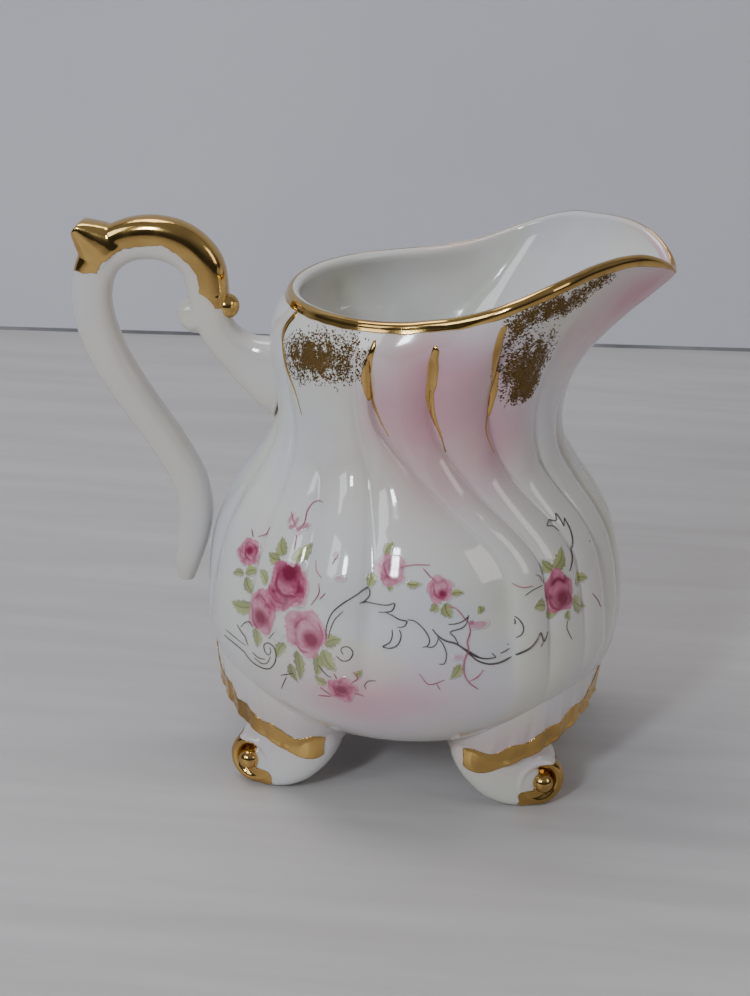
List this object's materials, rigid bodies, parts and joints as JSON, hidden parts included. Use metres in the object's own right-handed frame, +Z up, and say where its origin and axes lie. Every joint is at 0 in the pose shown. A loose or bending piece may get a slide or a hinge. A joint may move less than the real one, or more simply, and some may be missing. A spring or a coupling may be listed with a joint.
{
  "type": "porcelain cream jug",
  "caption": "Footed porcelain cream jug with a swirled, lobed belly, raised pouring lip, scrolled handle, painted rose sprays and gilt edges.",
  "frame": {"origin": "centre of the bounding box at table level, under the jug", "axes": "+Z up, +X along the pouring lip, handle on -X, Y across the jug"},
  "size_m": [0.1172, 0.083, 0.109],
  "materials": {
    "porcelain": "high gloss glaze with painted decoration",
    "gilding": "polished fired gold"
  },
  "bodies": {
    "root": {"jug_body": "porcelain", "handle": "porcelain", "handle_gilding": "gilding", "rim_gilding": "gilding", "foot_front_left": "porcelain", "gilding_front_left": "gilding", "curl_front_left": "gilding", "foot_front_right": "porcelain", "gilding_front_right": "gilding", "curl_front_right": "gilding", "foot_back_left": "porcelain", "gilding_back_left": "gilding", "curl_back_left": "gilding", "foot_back_right": "porcelain", "gilding_back_right": "gilding", "curl_back_right": "gilding"}
  },
  "joints": []
}
